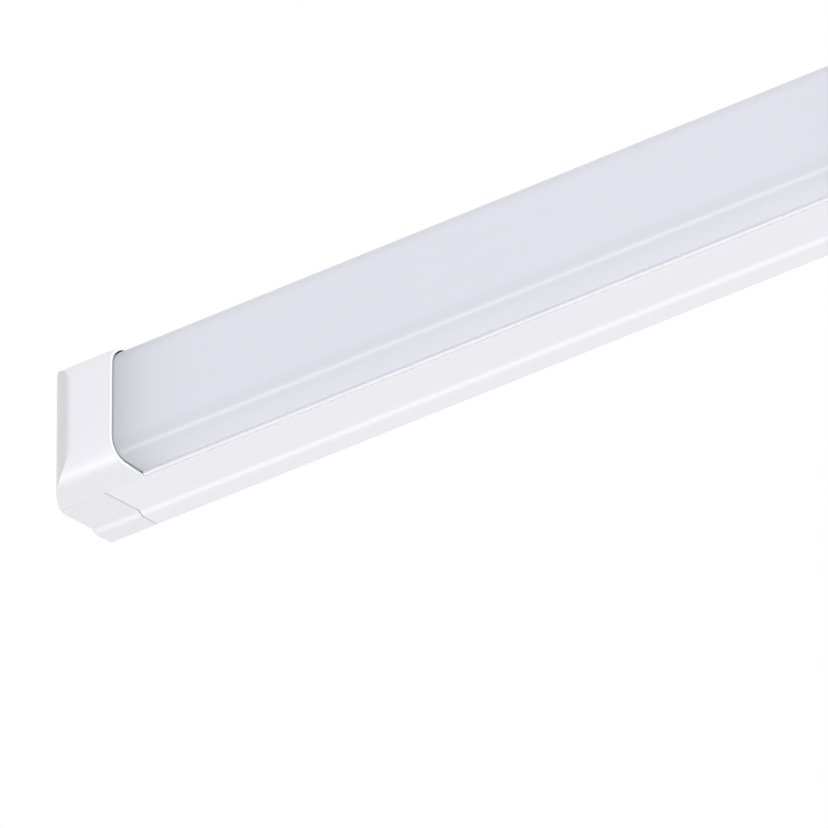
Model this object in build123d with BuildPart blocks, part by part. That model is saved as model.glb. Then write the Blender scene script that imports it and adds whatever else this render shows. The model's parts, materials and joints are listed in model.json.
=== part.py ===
from build123d import *
import os

# Waterproof LED batten that hangs under a ceiling. Millimetres, +Z up, X along the length.
# The ceiling plane is z = 0, and the origin is midway between the two mounting clips.

# Overall sizes
fixture_length = 640.0  # over the end faces of the two caps
foot_width = 73.6  # across the foot, against the ceiling
base_depth = 40.0  # ceiling to the lip of the base
hood_depth = 26.0  # lip to the front of the end caps
fit_gap = 0.3  # room between pieces that slide into each other
screw_gap = 0.15  # radial room round a screw's shank

# Base housing: an extrusion with a wider foot, a back channel and a web behind the boards
foot_height = 11.6
foot_step = 2.4  # the foot stands out this far from the flat sides
step_height = 3.0
step_round = 4.5
foot_round = 0.9
lip_round = 0.3
base_wall = 2.0
lip_width = 2.6
rim_height = 1.5  # rounded rim along the lip, between the hoods
rim_width = 1.75
rim_round = 1.45
groove_depth = 6.0  # lip to the front of the web
web_wall = 2.0
rib_wall = 1.6
rib_overhang_wall = 2.4
board_ledge = 1.5  # how far the rib laps over a board's edge
channel_mouth = 26.0
channel_width = 34.0
channel_depth = 8.0
channel_wall = 1.6
boss_radius = 3.5
boss_bite = 0.6  # how far a screw boss sinks into the walls beside it

# Opal cover
cover_wall = 1.8
cover_corner = 10.5
cover_draft = 2.2  # half width lost from the rim to the front
cover_lip_gap = 0.05
cover_hook = 2.2  # inward foot that slides behind the ribs
cover_hook_wall = 2.4

# End caps
cap_length = 32.0  # end face to the joint with the base
cap_wall = 4.8
cap_end_round = 1.5
hood_lap = 26.5  # how far the hood runs over the cover
hood_wall = 1.4
hood_gap = 0.9  # room between the hood and the cover
hood_corner = 12.7
hood_draft = 2.4  # half width lost from the lip to the front
parting_depth = 0.12  # fine groove along the cap at the height of the lip
parting_width = 0.5
hood_edge_round = 0.4
slope_length = 30.1  # domed slope across the front end corner
slope_rise = 6.0  # how far the slope runs on past the lip
slope_bulge = 5.1
gasket_thickness = 0.5
gasket_reveal = 0.4  # the gasket stands back this far from the outside
hood_seal_length = 5.0  # rubber strip in the gap between the hood and the cover
hood_seal_setback = 0.6  # behind the edge of the hood
hood_seal_gap = 0.05  # strip to the inside of the hood

# Cap screws
cap_screw_radius = 2.0
cap_screw_length = 40.0
cap_screw_head_radius = 3.5
cap_screw_head = 2.6
cap_screw_post = 4.6  # radius of the posts inside the caps
cap_screw_recess = 0.4  # the heads lie this far under the end face

# Small pan-head screws inside
small_screw_radius = 1.5
small_screw_head_radius = 2.8
small_screw_head = 1.8

# Shape of a screw's head, as shares of its height and radius
head_crown = 0.33
recess_depth = 0.5
recess_span = 1.0
recess_width = 0.25

# Mounting clips: bent spring strip
clip_spacing = 300.0
clip_length = 24.0
clip_sheet = 1.0
clip_bend = 0.8
clip_barb = 2.6  # how far the barbs reach out under the channel's lips
clip_hole_radius = 2.25

# Gear tray, driver and terminal
tray_sheet = 1.0
tray_width = 46.0
tray_lead = 32.0  # left end of the tray from the driver
tray_setback = 10.0  # right end of the tray from the end of the base
tray_screw_inset = 6.0
driver_length = 150.0
driver_width = 38.0
driver_headroom = 2.9  # driver's lid to the back channel
driver_wall = 1.5
driver_lid_wall = 1.5
driver_ear = 7.0
driver_ear_wall = 1.5
terminal_setback = 14.0  # face of the terminal from the end of the base
terminal_length = 24.0
terminal_height = 15.0
pole_pitch = 10.0
pole_count = 3
wiring_room = 40.0  # driver to terminal
button_width = 5.4
button_height = 3.4
button_length = 8.0
button_stand = 2.6  # how far a button stands out of the terminal
button_travel = 2.0
button_rise = 11.0  # height of the buttons over the tray
entry_radius = 1.9
entry_rise = 5.0
entry_depth = 9.0
earth_screw_offset = 22.0  # earth screw from the terminal
earth_tag_radius = 4.0
earth_tag_sheet = 0.8
earth_tag_reach = 6.0  # middle of the ring to its barrel
earth_barrel_radius = 1.7
earth_barrel_length = 5.0

# Wires
mains_wire_radius = 1.2
mains_wire_rise = 8.5  # height over the tray
mains_wire_spread = 6.0  # between the driver's two mains leads
mains_wire_straight = 13.0
mains_wire_bend = 12.0
earth_wire_bend = 4.0
earth_wire_straight = 5.0
led_wire_run = 42.0  # grommet to the driver
led_wire_radius = 0.9
led_wire_pitch = 2.4
led_wire_rise = 8.0  # height over the tray
led_wire_bend = 6.5
led_wire_turn = 4.0

# LED boards
board_wall = 1.6
board_setback = 8.0  # outer end of a board from the end of the base
board_split = 16.0  # gap between the two boards, over the grommet
led_count = 24
led_length = 3.5
led_width = 2.8
led_height = 0.8
led_margin = 30.0  # first and last package from the board's ends
grommet_y = 10.0
grommet_bore_radius = 2.8
grommet_neck_radius = 3.8
grommet_flange_radius = 5.2
grommet_flange = 1.0
connector_length = 8.0
connector_width = 8.0
connector_height = 5.0
connector_inset = 6.0  # connector from the board's inner end
link_lap = 8.0  # how far the board link rests on each board
link_width = 8.0
link_height = 4.0

# Cable gland in the right cap
gland_drop = 20.0  # ceiling to the gland's axis
gland_radius = 8.0
gland_hex = 20.0  # across the flats
gland_hex_length = 6.0
gland_stub = 11.0  # outer thread
gland_bore_radius = 5.0
gland_washer = 1.5
gland_washer_radius = 10.5
gland_locknut = 5.0
gland_tail = 2.0  # thread that shows behind the locknut
gland_thread_gap = 0.2
seal_radius = 5.8
seal_length = 8.6
cable_radius = 3.25  # the hole that the cable goes through
clamp_ring = 2.2
clamp_ring_bore_radius = 4.4
nut_wall = 2.2
nut_mouth_radius = 4.5
nut_round = 1.6

# Places worked out from the sizes above
foot_half = foot_width / 2
side_half = foot_half - foot_step
cap_depth = base_depth + hood_depth
slope_depth = hood_depth + slope_rise
end_x = fixture_length / 2
joint_x = end_x - cap_length
hood_edge = joint_x - hood_lap
base_end = joint_x - gasket_thickness
base_length = 2 * base_end
web_front = -(base_depth - groove_depth)
web_back = web_front + web_wall
gear_half = side_half - base_wall
lip_inner = side_half - lip_width
rim_outer = lip_inner + rim_width
rim_end = hood_edge - fit_gap
cover_half = lip_inner - cover_lip_gap
cover_front = cap_depth - hood_wall - hood_gap
cover_root = base_depth - groove_depth + fit_gap
leg_inner = cover_half - cover_wall
hook_tip = leg_inner - cover_hook
rib_outer = hook_tip - fit_gap
rib_inner = rib_outer - rib_wall
rib_tip = leg_inner - fit_gap
hook_front = -(cover_root + cover_hook_wall)
rib_shelf = hook_front - fit_gap
board_half = rib_inner - fit_gap
board_front = web_front - board_wall
boss_y = gear_half - boss_radius + boss_bite
boss_back = -(base_wall + boss_radius - boss_bite)
boss_front = web_back + boss_radius - boss_bite
screw_points = [(y, z) for y in (-boss_y, boss_y) for z in (boss_back, boss_front)]
tray_top = web_back + tray_sheet
terminal_face = base_end - terminal_setback
terminal_back = terminal_face - terminal_length
driver_end = terminal_back - wiring_room
driver_start = driver_end - driver_length
driver_height = -(channel_depth + channel_wall + driver_headroom + driver_lid_wall) - tray_top
tray_start = driver_start - tray_lead
tray_end = base_end - tray_setback
pole_places = [pole_pitch * (i - (pole_count - 1) / 2) for i in range(pole_count)]
tray_screw_points = [
    (tray_start + tray_screw_inset, 0),
    (driver_end + wiring_room / 2, tray_width / 2 - tray_screw_inset),
]
clip_places = (-clip_spacing / 2, clip_spacing / 2)
grommet_x = driver_start - led_wire_run
board_outer = base_end - board_setback
board_spans = {
    "left": (-board_outer, grommet_x - board_split / 2),
    "right": (grommet_x + board_split / 2, board_outer),
}
gland_point = (0, -gland_drop)


def end_plane(side, distance):
    # A plane across the fixture that faces out of its left (-1) or right (1) end
    return Plane(origin=(side * distance, 0, 0), x_dir=(0, side, 0), z_dir=(side, 0, 0))


def strip(y_low, y_high, z_low, z_high, mode=Mode.ADD):
    # A rectangle of a cross-section, given by its limits
    with Locations(((y_low + y_high) / 2, (z_low + z_high) / 2)):
        Rectangle(y_high - y_low, z_high - z_low, mode=mode)


def block(x_low, x_high, y_low, y_high, z_low, z_high, mode=Mode.ADD):
    # A box, given by its limits
    with Locations(((x_low + x_high) / 2, (y_low + y_high) / 2, (z_low + z_high) / 2)):
        Box(x_high - x_low, y_high - y_low, z_high - z_low, mode=mode)


def base_outline(inset):
    # Outside of the base from the ceiling to the lip, drawn in from the back and the sides
    foot = foot_half - inset
    side = side_half - inset
    with BuildSketch(mode=Mode.PRIVATE) as outline:
        with BuildLine():
            FilletPolyline(
                (0, -inset),
                (foot, -inset),
                (foot, -foot_height),
                (side, -foot_height - step_height),
                (side, -base_depth),
                (0, -base_depth),
                radius=[foot_round, step_round, step_round, 0],
            )
            Line((0, -base_depth), (0, -inset))
        make_face()
        mirror(about=Plane.YZ)
    return outline.sketch


def hood_outline(inset):
    # Outside of a cap in front of the lip, drawn in from the front and the sides
    front = inset - cap_depth
    with BuildSketch(mode=Mode.PRIVATE) as outline:
        with BuildLine():
            FilletPolyline(
                (0, -base_depth),
                (side_half - inset, -base_depth),
                (side_half - hood_draft - inset, front),
                (0, front),
                radius=[0, hood_corner - inset],
            )
            Line((0, front), (0, -base_depth))
        make_face()
        mirror(about=Plane.YZ)
    return outline.sketch


def cover_outline(inset):
    # Outside of the cover from the root of its legs to its front
    front = inset - cover_front
    with BuildSketch(mode=Mode.PRIVATE) as outline:
        with BuildLine():
            FilletPolyline(
                (0, -cover_root),
                (cover_half - inset, -cover_root),
                (cover_half - inset, -base_depth - rim_height),
                (cover_half - cover_draft - inset, front),
                (0, front),
                radius=[0, 0, cover_corner - inset],
            )
            Line((0, front), (0, -cover_root))
        make_face()
        mirror(about=Plane.YZ)
    return outline.sketch


def cap_side_view(side, inset):
    # Side view of a cap with its domed slope, drawn in from the end, the slope and the front
    reach = (slope_length**2 + slope_depth**2) ** 0.5
    rise = slope_depth / slope_length
    drawn_in = inset * reach / slope_length
    end = end_x - inset
    front = inset - cap_depth
    high = (end, slope_depth - cap_depth - inset * rise + drawn_in)
    low = (end_x + (inset - slope_depth - drawn_in) / rise, front)
    middle = (
        (high[0] + low[0]) / 2 + slope_bulge * slope_depth / reach,
        (high[1] + low[1]) / 2 - slope_bulge * slope_length / reach,
    )
    with BuildSketch(mode=Mode.PRIVATE) as outline:
        with BuildLine():
            Polyline(
                (side * low[0], low[1]),
                (side * hood_edge, front),
                (side * hood_edge, 0),
                (side * end, 0),
            )
            Line((side * end, 0), (side * high[0], high[1]))
            ThreePointArc(
                (side * high[0], high[1]),
                (side * middle[0], middle[1]),
                (side * low[0], low[1]),
            )
        make_face()
    return outline.sketch


def pan_screw(radius, length, head_radius, head):
    # A pan-head screw with a cross recess: its head stands on z = 0 and its shank points down
    with BuildPart() as screw:
        Cylinder(radius, length, align=(Align.CENTER, Align.CENTER, Align.MAX))
        Cylinder(head_radius, head, align=(Align.CENTER, Align.CENTER, Align.MIN))
        fillet(screw.faces().sort_by(Axis.Z)[-1].edges(), head_crown * head)
        with BuildSketch(Plane.XY.offset(head)):
            Rectangle(recess_span * head_radius, recess_width * head_radius)
            Rectangle(recess_width * head_radius, recess_span * head_radius)
        extrude(amount=-recess_depth * head, mode=Mode.SUBTRACT)
    return screw.part


def save(part, name):
    part.label = name
    export_step(part, f"parts/{name}.step")
    print(name, len(part.solids()), round(part.volume, 1))


os.makedirs("parts", exist_ok=True)

# Base housing
with BuildPart() as base_housing:
    with BuildSketch(Plane.YZ.offset(-base_end)) as base_section:
        add(base_outline(0))
        strip(-lip_inner, lip_inner, -base_depth, web_front, Mode.SUBTRACT)
        fillet(base_section.vertices().group_by(Axis.Y)[0], lip_round)
        for hand in (-1, 1):
            rib = sorted((hand * rib_inner, hand * rib_outer))
            lap = sorted((hand * rib_inner, hand * rib_tip))
            ledge = sorted((hand * (rib_inner - board_ledge), hand * rib_outer))
            strip(*rib, rib_shelf, web_front)
            strip(*lap, rib_shelf - rib_overhang_wall, rib_shelf)
            strip(*ledge, rib_shelf - rib_overhang_wall, board_front - fit_gap)
        strip(-gear_half, gear_half, web_back, -base_wall, Mode.SUBTRACT)
        channel_half = channel_width / 2
        channel_outer = channel_half + channel_wall
        strip(-channel_outer, channel_outer, -channel_depth - channel_wall, 0)
        strip(-channel_half, channel_half, -channel_depth, -base_wall, Mode.SUBTRACT)
        strip(-channel_mouth / 2, channel_mouth / 2, -base_wall, 0, Mode.SUBTRACT)
        with Locations(*screw_points):
            Circle(boss_radius)
            Circle(cap_screw_radius + screw_gap, mode=Mode.SUBTRACT)
    extrude(amount=base_length)
    with BuildSketch(Plane.YZ.offset(-rim_end)) as rim_section:
        for hand in (-1, 1):
            rim = sorted((hand * lip_inner, hand * rim_outer))
            strip(*rim, -base_depth - rim_height, lip_round - base_depth)
        front_corners = rim_section.vertices().group_by(Axis.Y)[0].sort_by(Axis.X)
        fillet([front_corners[0], front_corners[-1]], rim_round)
    extrude(amount=2 * rim_end)
    with Locations((grommet_x, grommet_y, web_back)):
        Hole(grommet_neck_radius + screw_gap, depth=web_wall)
    with Locations(Plane.XY.offset(web_back)):
        with Locations(*tray_screw_points):
            Hole(small_screw_radius + screw_gap, depth=web_wall)
save(base_housing.part, "base_housing")

# Opal cover with hooks that slide behind the ribs
with BuildPart() as diffuser_cover:
    with BuildSketch(Plane.YZ.offset(-base_end)):
        add(cover_outline(0))
        add(cover_outline(cover_wall), mode=Mode.SUBTRACT)
        for hand in (-1, 1):
            hook = sorted((hand * hook_tip, hand * leg_inner))
            strip(*hook, hook_front, -cover_root)
    extrude(amount=base_length)
save(diffuser_cover.part, "diffuser_cover")

# End caps, their gaskets, seals and screws
for side, name in ((-1, "left"), (1, "right")):
    with BuildPart() as cavity:
        with BuildSketch(end_plane(side, end_x - cap_wall)):
            add(base_outline(cap_wall))
            add(hood_outline(cap_wall))
        extrude(amount=cap_wall - cap_length)
        with BuildSketch(Plane.XZ):
            add(cap_side_view(side, cap_wall))
        extrude(amount=foot_width, both=True, mode=Mode.INTERSECT)

    with BuildPart() as end_cap:
        with BuildSketch(end_plane(side, end_x)):
            add(base_outline(0))
            add(hood_outline(0))
        extrude(amount=-cap_length)
        with BuildSketch(end_plane(side, joint_x)):
            add(hood_outline(0))
        extrude(amount=-hood_lap)
        with BuildSketch(Plane.XZ):
            add(cap_side_view(side, 0))
        extrude(amount=foot_width, both=True, mode=Mode.INTERSECT)
        faces_outwards = end_cap.faces().sort_by(Axis.X, reverse=side > 0)
        end_face, hood_face = faces_outwards[0], faces_outwards[-1]
        fillet(end_face.edges(), cap_end_round)
        fillet(hood_face.edges().sort_by(Axis.Z)[:-1], hood_edge_round)
        for hand in (-1, 1):
            groove = sorted((hand * (side_half - parting_depth), hand * foot_half))
            with BuildSketch(end_plane(side, end_x)):
                strip(*groove, -base_depth - parting_width / 2, parting_width / 2 - base_depth)
            extrude(amount=-cap_length, mode=Mode.SUBTRACT)
        add(cavity.part, mode=Mode.SUBTRACT)
        with BuildSketch(end_plane(side, joint_x)):
            add(cover_outline(-hood_gap))
        extrude(amount=-hood_lap, mode=Mode.SUBTRACT)
        with BuildSketch(end_plane(side, end_x - cap_wall)):
            with Locations(*screw_points):
                Circle(cap_screw_post)
        extrude(amount=cap_wall - cap_length)
        with Locations(end_plane(side, end_x)):
            with Locations(*screw_points):
                CounterBoreHole(
                    cap_screw_radius + screw_gap,
                    cap_screw_head_radius + fit_gap,
                    cap_screw_head + cap_screw_recess,
                    depth=cap_length,
                )
            if side > 0:
                with Locations(gland_point):
                    Hole(gland_radius + gland_thread_gap, depth=cap_wall)
    save(end_cap.part, f"{name}_end_cap")

    with BuildPart() as gasket:
        with BuildSketch(end_plane(side, joint_x)):
            add(base_outline(gasket_reveal))
            add(cover_outline(0))
            add(base_outline(cap_wall), mode=Mode.SUBTRACT)
            add(hood_outline(cap_wall), mode=Mode.SUBTRACT)
            with Locations(*screw_points):
                Circle(cap_screw_post - gasket_reveal)
                Circle(cap_screw_radius + screw_gap, mode=Mode.SUBTRACT)
        extrude(amount=-gasket_thickness)
    save(gasket.part, f"{name}_gasket")

    with BuildPart() as hood_seal:
        with BuildSketch(end_plane(side, hood_edge + hood_seal_setback)):
            add(cover_outline(hood_seal_gap - hood_gap))
            add(cover_outline(-fit_gap), mode=Mode.SUBTRACT)
            strip(-foot_half, foot_half, -base_depth - fit_gap, 0, Mode.SUBTRACT)
        extrude(amount=hood_seal_length)
    save(hood_seal.part, f"{name}_hood_seal")

    with BuildPart() as cap_screws:
        with Locations(end_plane(side, end_x - cap_screw_head - cap_screw_recess)):
            with Locations(*screw_points):
                add(pan_screw(cap_screw_radius, cap_screw_length, cap_screw_head_radius, cap_screw_head))
    save(cap_screws.part, f"{name}_cap_screws")

# Spring clips in the back channel, bent from one strip
for place, name in zip(clip_places, ("left", "right")):
    leg = channel_mouth / 2 - fit_gap - clip_sheet / 2
    barb_z = -base_wall - fit_gap - clip_sheet / 2
    barb_y = leg + clip_barb
    ramp_end = -channel_depth + fit_gap + clip_sheet
    with BuildPart() as clip:
        with BuildSketch(Plane.YZ.offset(place - clip_length / 2)):
            with BuildLine():
                Polyline(
                    (leg - clip_barb, ramp_end),
                    (barb_y, barb_z),
                    (leg, barb_z),
                    (leg, -clip_sheet / 2),
                    (-leg, -clip_sheet / 2),
                    (-leg, barb_z),
                    (-barb_y, barb_z),
                    (clip_barb - leg, ramp_end),
                )
            trace(line_width=clip_sheet)
        extrude(amount=clip_length)
        fillet(clip.edges().filter_by(Axis.X).group_by(Axis.Z)[-1], clip_bend)
        with Locations((place, 0, 0)):
            Hole(clip_hole_radius, depth=clip_sheet)
    save(clip.part, f"mounting_clip_{name}")

# Gear tray on the back of the web
ear_points = [(driver_start - driver_ear / 2, 0), (driver_end + driver_ear / 2, 0)]
earth_x = terminal_back - earth_screw_offset
earth_y = pole_places[0]
barrel_x = earth_x + earth_tag_reach
barrel_z = tray_top + earth_barrel_radius
with BuildPart() as gear_tray:
    block(tray_start, tray_end, -tray_width / 2, tray_width / 2, web_back, tray_top)
    with Locations(Plane.XY.offset(tray_top)):
        with Locations(*tray_screw_points, *ear_points, (earth_x, earth_y)):
            Hole(small_screw_radius + screw_gap, depth=tray_sheet)
save(gear_tray.part, "gear_tray")

with BuildPart() as tray_screws:
    shank = tray_sheet + web_wall - fit_gap
    with Locations(Plane.XY.offset(tray_top)):
        with Locations(*tray_screw_points):
            add(pan_screw(small_screw_radius, shank, small_screw_head_radius, small_screw_head))
save(tray_screws.part, "tray_screws")

# Driver: an open case with two ears, and its lid
with BuildPart() as driver_case:
    half = driver_width / 2
    block(driver_start, driver_end, -half, half, tray_top, tray_top + driver_height)
    opening = half - driver_wall
    block(
        driver_start + driver_wall,
        driver_end - driver_wall,
        -opening,
        opening,
        tray_top + driver_wall,
        tray_top + driver_height,
        Mode.SUBTRACT,
    )
    ear_top = tray_top + driver_ear_wall
    block(driver_start - driver_ear, driver_end + driver_ear, -driver_ear, driver_ear, tray_top, ear_top)
    with Locations(Plane.XY.offset(ear_top)):
        with Locations(*ear_points):
            Hole(small_screw_radius + screw_gap, depth=driver_ear_wall)
save(driver_case.part, "driver_case")

with BuildPart() as driver_lid:
    lid_z = tray_top + driver_height
    block(driver_start, driver_end, -half, half, lid_z, lid_z + driver_lid_wall)
    spigot = opening - fit_gap
    block(
        driver_start + driver_wall + fit_gap,
        driver_end - driver_wall - fit_gap,
        -spigot,
        spigot,
        lid_z - driver_lid_wall,
        lid_z,
    )
    top_edges = driver_lid.faces().sort_by(Axis.Z)[-1].edges()
    fillet(top_edges, driver_lid_wall / 2)
save(driver_lid.part, "driver_lid")

with BuildPart() as driver_screws:
    shank = driver_ear_wall + tray_sheet - fit_gap
    with Locations(Plane.XY.offset(ear_top)):
        with Locations(*ear_points):
            add(pan_screw(small_screw_radius, shank, small_screw_head_radius, small_screw_head))
save(driver_screws.part, "driver_screws")

# Terminal block with a release button over each cable entry
with BuildPart() as terminal_block:
    half = pole_pitch * pole_count / 2
    block(terminal_back, terminal_face, -half, half, tray_top, tray_top + terminal_height)
    with BuildSketch(Plane.YZ.offset(terminal_face)):
        with Locations(*[(y, tray_top + button_rise) for y in pole_places]):
            Rectangle(button_width + 2 * fit_gap, button_height + 2 * fit_gap)
    extrude(amount=-(button_length - button_stand + button_travel + fit_gap), mode=Mode.SUBTRACT)
    with BuildSketch(Plane.YZ.offset(terminal_face)):
        with Locations(*[(y, tray_top + entry_rise) for y in pole_places]):
            Circle(entry_radius)
    extrude(amount=-entry_depth, mode=Mode.SUBTRACT)
save(terminal_block.part, "terminal_block")

for y, name in zip(pole_places, ("earth", "neutral", "live")):
    with BuildPart() as button:
        with BuildSketch(Plane.YZ.offset(terminal_face + button_stand)):
            with Locations((y, tray_top + button_rise)):
                Rectangle(button_width, button_height)
        extrude(amount=-button_length)
        fillet(button.faces().sort_by(Axis.X)[-1].edges(), fit_gap)
    save(button.part, f"release_button_{name}")

# Earth screw with its ring tag, on the tray
with BuildPart() as earth_tag:
    with BuildSketch(Plane.XY.offset(tray_top)):
        with Locations((earth_x, earth_y)):
            Circle(earth_tag_radius)
        tongue_end = barrel_x + earth_barrel_length
        strip(earth_x, tongue_end, earth_y - earth_barrel_radius, earth_y + earth_barrel_radius)
        with Locations((earth_x, earth_y)):
            Circle(small_screw_radius + screw_gap, mode=Mode.SUBTRACT)
    extrude(amount=earth_tag_sheet)
    with BuildSketch(Plane.YZ.offset(barrel_x)):
        with Locations((earth_y, barrel_z)):
            Circle(earth_barrel_radius)
    extrude(amount=earth_barrel_length)
save(earth_tag.part, "earth_tag")

with BuildPart() as earth_screw:
    shank = earth_tag_sheet + tray_sheet - fit_gap
    with Locations((earth_x, earth_y, tray_top + earth_tag_sheet)):
        add(pan_screw(small_screw_radius, shank, small_screw_head_radius, small_screw_head))
save(earth_screw.part, "earth_screw")

# Mains leads from the driver to the terminal
for hand, y, name in ((-1, pole_places[1], "neutral_wire"), (1, pole_places[2], "live_wire")):
    start_y = hand * mains_wire_spread / 2 + (pole_places[1] + pole_places[2]) / 2
    wire_z = tray_top + mains_wire_rise
    with BuildPart() as wire:
        with BuildLine() as route:
            FilletPolyline(
                (driver_end, start_y, wire_z),
                (driver_end + mains_wire_straight, start_y, wire_z),
                (terminal_back - mains_wire_straight, y, wire_z),
                (terminal_back, y, wire_z),
                radius=mains_wire_bend,
            )
        with BuildSketch(Plane(origin=route.line @ 0, z_dir=route.line % 0)):
            Circle(mains_wire_radius)
        sweep()
    save(wire.part, name)

# Earth lead from the ring tag up to the terminal
with BuildPart() as earth_wire:
    with BuildLine() as route:
        FilletPolyline(
            (tongue_end, earth_y, barrel_z),
            (tongue_end + earth_wire_straight, earth_y, barrel_z),
            (terminal_back - earth_wire_straight, earth_y, tray_top + entry_rise),
            (terminal_back, earth_y, tray_top + entry_rise),
            radius=earth_wire_bend,
        )
    with BuildSketch(Plane(origin=route.line @ 0, z_dir=route.line % 0)):
        Circle(mains_wire_radius)
    sweep()
save(earth_wire.part, "earth_wire")

# Grommet in the web, and the LED leads that pass through it to the board's connector
with BuildPart() as web_grommet:
    with BuildSketch(Plane((grommet_x, grommet_y, 0), x_dir=(1, 0, 0), z_dir=(0, -1, 0))):
        strip(grommet_bore_radius, grommet_neck_radius, web_front - grommet_flange, web_back + grommet_flange)
        strip(grommet_bore_radius, grommet_flange_radius, web_back, web_back + grommet_flange)
        strip(grommet_bore_radius, grommet_flange_radius, web_front - grommet_flange, web_front)
    revolve(axis=Axis((grommet_x, grommet_y, 0), (0, 0, 1)))
save(web_grommet.part, "web_grommet")

connector_x = board_spans["right"][0] + connector_inset
for hand, name in ((-1, "led_negative_wire"), (1, "led_positive_wire")):
    y = grommet_y + hand * led_wire_pitch / 2
    with BuildPart() as wire:
        with BuildLine() as route:
            FilletPolyline(
                (driver_start, y, tray_top + led_wire_rise),
                (grommet_x, y, tray_top + led_wire_rise),
                (grommet_x, y, board_front - connector_height / 2),
                (connector_x, y, board_front - connector_height / 2),
                radius=[led_wire_bend, led_wire_turn],
            )
        with BuildSketch(Plane(origin=route.line @ 0, z_dir=route.line % 0)):
            Circle(led_wire_radius)
        sweep()
    save(wire.part, name)

# LED boards on the front of the web, with their packages, connector and link
for name, (low, high) in board_spans.items():
    with BuildPart() as board:
        block(low, high, -board_half, board_half, board_front, web_front)
    save(board.part, f"led_board_{name}")

    pitch = (high - low - 2 * led_margin) / (led_count - 1)
    with BuildPart() as packages:
        with Locations(((low + high) / 2, 0, board_front - led_height / 2)):
            with GridLocations(pitch, 1, led_count, 1):
                Box(led_length, led_width, led_height)
    save(packages.part, f"led_packages_{name}")

with BuildPart() as board_connector:
    connector_half = connector_width / 2
    block(
        connector_x,
        connector_x + connector_length,
        grommet_y - connector_half,
        grommet_y + connector_half,
        board_front - connector_height,
        board_front,
    )
save(board_connector.part, "board_connector")

with BuildPart() as board_link:
    reach = board_split / 2 + link_lap
    link_half = link_width / 2
    link_front = board_front - link_height
    block(
        grommet_x - reach,
        grommet_x + reach,
        -grommet_y - link_half,
        link_half - grommet_y,
        link_front,
        board_front,
    )
save(board_link.part, "board_link")

# Cable gland: washer, body, locknut, rubber seal, clamp ring and dome nut
hex_start = end_x + gland_washer
stub_start = hex_start + gland_hex_length
stub_end = stub_start + gland_stub
seal_start = stub_end - seal_length - fit_gap
ring_start = stub_end + fit_gap
nut_start = stub_start + 2 * fit_gap
nut_floor = ring_start + clamp_ring + fit_gap
locknut_face = end_x - cap_wall

with BuildPart() as gland_washer_part:
    with BuildSketch(end_plane(1, end_x)):
        with Locations(gland_point):
            Circle(gland_washer_radius)
            Circle(gland_radius + gland_thread_gap, mode=Mode.SUBTRACT)
    extrude(amount=gland_washer)
save(gland_washer_part.part, "gland_washer")

with BuildPart() as gland_body:
    with BuildSketch(end_plane(1, locknut_face - gland_locknut - gland_tail)):
        with Locations(gland_point):
            Circle(gland_radius)
    extrude(amount=stub_end - locknut_face + gland_locknut + gland_tail)
    with BuildSketch(end_plane(1, hex_start)):
        with Locations(gland_point):
            RegularPolygon(gland_hex / 2, 6, major_radius=False)
    extrude(amount=gland_hex_length)
    with Locations(end_plane(1, stub_end)):
        with Locations(gland_point):
            CounterBoreHole(gland_bore_radius, seal_radius + fit_gap, stub_end - seal_start)
save(gland_body.part, "gland_body")

with BuildPart() as gland_locknut_part:
    with BuildSketch(end_plane(1, locknut_face - gland_locknut)):
        with Locations(gland_point):
            RegularPolygon(gland_hex / 2, 6, major_radius=False)
            Circle(gland_radius + gland_thread_gap, mode=Mode.SUBTRACT)
    extrude(amount=gland_locknut)
save(gland_locknut_part.part, "gland_locknut")

with BuildPart() as gland_seal:
    with BuildSketch(end_plane(1, seal_start)):
        with Locations(gland_point):
            Circle(seal_radius)
            Circle(cable_radius, mode=Mode.SUBTRACT)
    extrude(amount=seal_length)
save(gland_seal.part, "gland_seal")

with BuildPart() as gland_clamp_ring:
    with BuildSketch(end_plane(1, ring_start)):
        with Locations(gland_point):
            Circle(gland_radius)
            Circle(clamp_ring_bore_radius, mode=Mode.SUBTRACT)
    extrude(amount=clamp_ring)
save(gland_clamp_ring.part, "gland_clamp_ring")

with BuildPart() as gland_nut:
    with BuildSketch(end_plane(1, nut_start)):
        with Locations(gland_point):
            RegularPolygon(gland_hex / 2, 6, major_radius=False)
    extrude(amount=nut_floor + nut_wall - nut_start)
    chamfer(gland_nut.faces().sort_by(Axis.X)[-1].edges(), nut_round)
    with Locations(end_plane(1, nut_floor + nut_wall)):
        with Locations(gland_point):
            Hole(nut_mouth_radius)
    with BuildSketch(end_plane(1, nut_start)):
        with Locations(gland_point):
            Circle(gland_radius + gland_thread_gap)
    extrude(amount=nut_floor - nut_start, mode=Mode.SUBTRACT)
save(gland_nut.part, "gland_nut")
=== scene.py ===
import json
import math
import bmesh
import bpy
from mathutils import Matrix, Vector

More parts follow.
